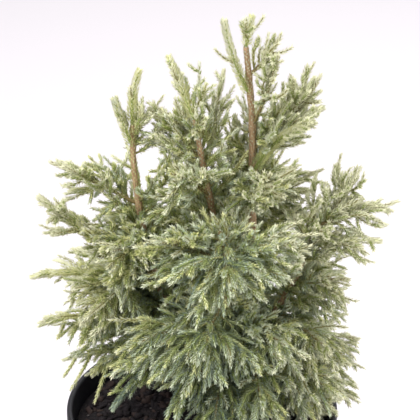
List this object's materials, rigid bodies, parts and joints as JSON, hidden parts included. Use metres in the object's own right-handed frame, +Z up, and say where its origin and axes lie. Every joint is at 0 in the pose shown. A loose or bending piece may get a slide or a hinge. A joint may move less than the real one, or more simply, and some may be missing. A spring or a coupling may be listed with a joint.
{
  "type": "potted baby blue sawara cypress",
  "caption": "Young sawara cypress with soft feathery blue-green foliage on several upright stems, growing in a round black nursery pot.",
  "frame": {"origin": "centre of the pot's flat underside", "axes": "+Z up along the pot's axis, -Y towards the viewer of the picture, +X to the right of it"},
  "size_m": [0.2818, 0.2599, 0.5398],
  "materials": {
    "pot": "black moulded plastic with a soft sheen, lightly scuffed and dusty",
    "potting_mix": "dark damp bark-based potting mix",
    "bark": "thin reddish-brown stringy bark",
    "foliage": "soft juvenile needles, grey-green with paler yellow-green tips"
  },
  "bodies": {
    "root": {"pot": "pot", "potting_mix": "potting_mix", "trunk": "bark", "left_leader": "bark", "centre_leader": "bark", "right_leader": "bark", "front_leader": "bark", "rear_leader": "bark", "left_fan_mid_bough": "bark", "left_low_bough": "bark", "right_low_bough": "bark", "leader_top": "foliage", "leader_left": "foliage", "leader_right": "foliage", "leader_feather": "foliage", "crest_right": "foliage", "crest_right_low": "foliage", "crest_right_fold": "foliage", "crest_left": "foliage", "centre_top": "foliage", "centre_left": "foliage", "centre_rear": "foliage", "centre_front": "foliage", "trunk_front": "foliage", "left_top": "foliage", "left_top_out": "foliage", "left_fan": "foliage", "left_fan_mid": "foliage", "left_point": "foliage", "left_low": "foliage", "left_skirt": "foliage", "left_hang": "foliage", "left_hollow": "foliage", "left_front": "foliage", "front_low_left": "foliage", "front_low": "foliage", "front_low_right": "foliage", "front_mid_left": "foliage", "front_mid": "foliage", "front_mid_right": "foliage", "front_fan": "foliage", "front_fan_left": "foliage", "front_fan_right": "foliage", "right_skirt": "foliage", "right_front_low": "foliage", "right_front_mid": "foliage", "right_low": "foliage", "right_mid": "foliage", "right_drop": "foliage", "right_big": "foliage", "right_upper": "foliage", "rear_top": "foliage", "rear_right_high": "foliage", "rear_left_high": "foliage", "rear_left": "foliage", "rear_mid": "foliage", "rear_right": "foliage", "rear_low_left": "foliage", "rear_low_right": "foliage", "rear_right_low": "foliage"}
  },
  "joints": []
}
